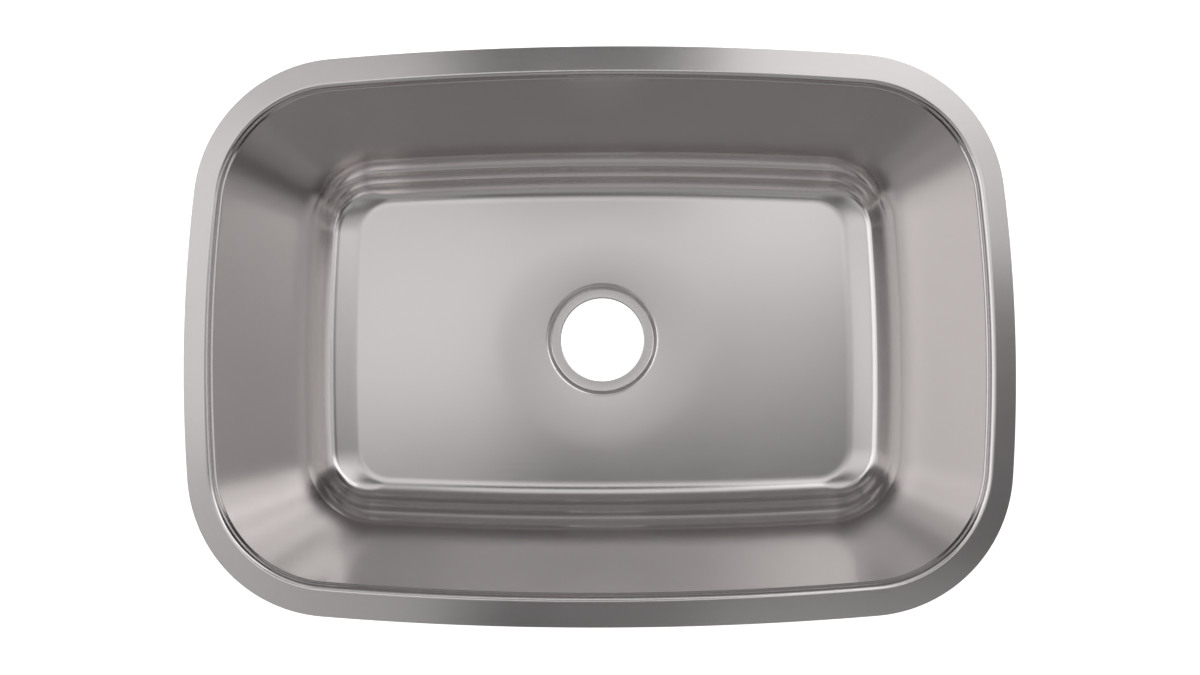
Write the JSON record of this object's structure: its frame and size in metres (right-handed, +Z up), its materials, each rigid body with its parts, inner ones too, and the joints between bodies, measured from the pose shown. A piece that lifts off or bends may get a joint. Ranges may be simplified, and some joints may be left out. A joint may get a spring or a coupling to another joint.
{
  "type": "undermount kitchen sink",
  "caption": "Single-bowl undermount sink drawn from stainless sheet, with drafted walls, a fluted foot, a recessed drain seat and rubber damping pads on its hidden side.",
  "frame": {"origin": "under the middle of the drain, at the level of the lowest point of the bowl", "axes": "+X along the sink's length to the right, +Y to the rear, +Z up out of the basin"},
  "size_m": [0.7618, 0.5318, 0.2367],
  "materials": {
    "brushed_stainless": "satin, brushed",
    "damping_rubber": "matte, moulded grain"
  },
  "bodies": {
    "root": {"sink_bowl": "brushed_stainless", "front_left_pad": "damping_rubber", "front_right_pad": "damping_rubber", "rear_left_pad": "damping_rubber", "rear_right_pad": "damping_rubber", "left_end_pad": "damping_rubber", "right_end_pad": "damping_rubber", "left_base_pad": "damping_rubber", "right_base_pad": "damping_rubber"}
  },
  "joints": []
}
